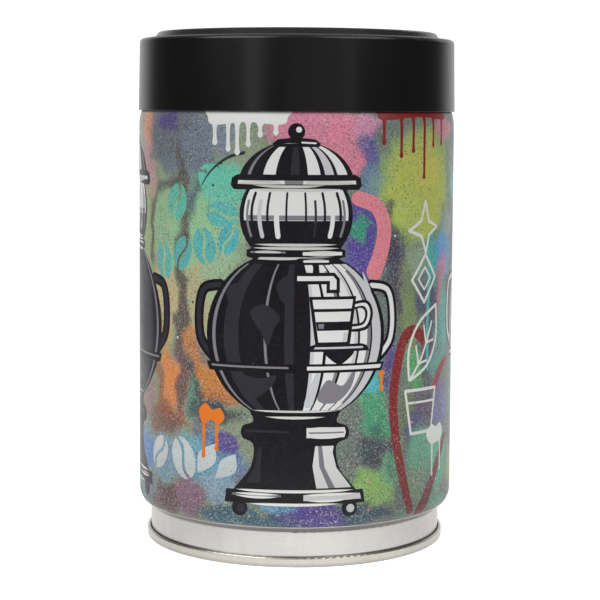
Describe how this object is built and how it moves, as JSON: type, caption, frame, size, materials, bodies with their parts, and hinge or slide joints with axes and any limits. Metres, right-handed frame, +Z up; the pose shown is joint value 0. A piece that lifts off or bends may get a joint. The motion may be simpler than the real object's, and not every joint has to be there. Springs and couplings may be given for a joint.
{
  "type": "coffee tin",
  "caption": "Round steel coffee tin with a necked base, printed sleeve, peel-off valve foil and a black push-on lid with a stacking ring.",
  "frame": {"origin": "centre of the circle that the base seam stands on", "axes": "+Z up along the tin's axis, towards the lid; -Y is the front and the can's side seam is at +Y"},
  "size_m": [0.0992, 0.0992, 0.159],
  "materials": {
    "tinplate_can": "bare bright tinplate, fine drawn grain",
    "printed_film": "matt printed film with sprayed colours",
    "tinplate_end": "tinplate with a slightly warm lacquer",
    "sealing_compound": "soft grey",
    "foil": "satin foil",
    "valve_plastic": "natural white",
    "valve_rubber": "thin translucent amber",
    "filter_fleece": "pressed white fleece",
    "soft_seal": "soft dark grey",
    "lid_plastic": "satin black moulding"
  },
  "bodies": {
    "can": {"can_body": "tinplate_can", "printed_sleeve": "printed_film", "base_end": "tinplate_end", "base_seam_compound": "sealing_compound", "top_ring": "tinplate_end", "top_seam_compound": "sealing_compound"},
    "membrane": {"foil_membrane": "foil", "valve_body": "valve_plastic", "valve_flap": "valve_rubber", "valve_filter": "filter_fleece"},
    "lid": {"lid_cap": "lid_plastic", "lid_seal_ring": "soft_seal"}
  },
  "joints": [
    {"name": "membrane_lift", "type": "slide", "parent": "can", "child": "membrane", "axis": [0, 0, 1], "range_m": [0, 0.04]},
    {"name": "lid_lift", "type": "slide", "parent": "membrane", "child": "lid", "axis": [0, 0, 1], "range_m": [0, 0.06]}
  ]
}
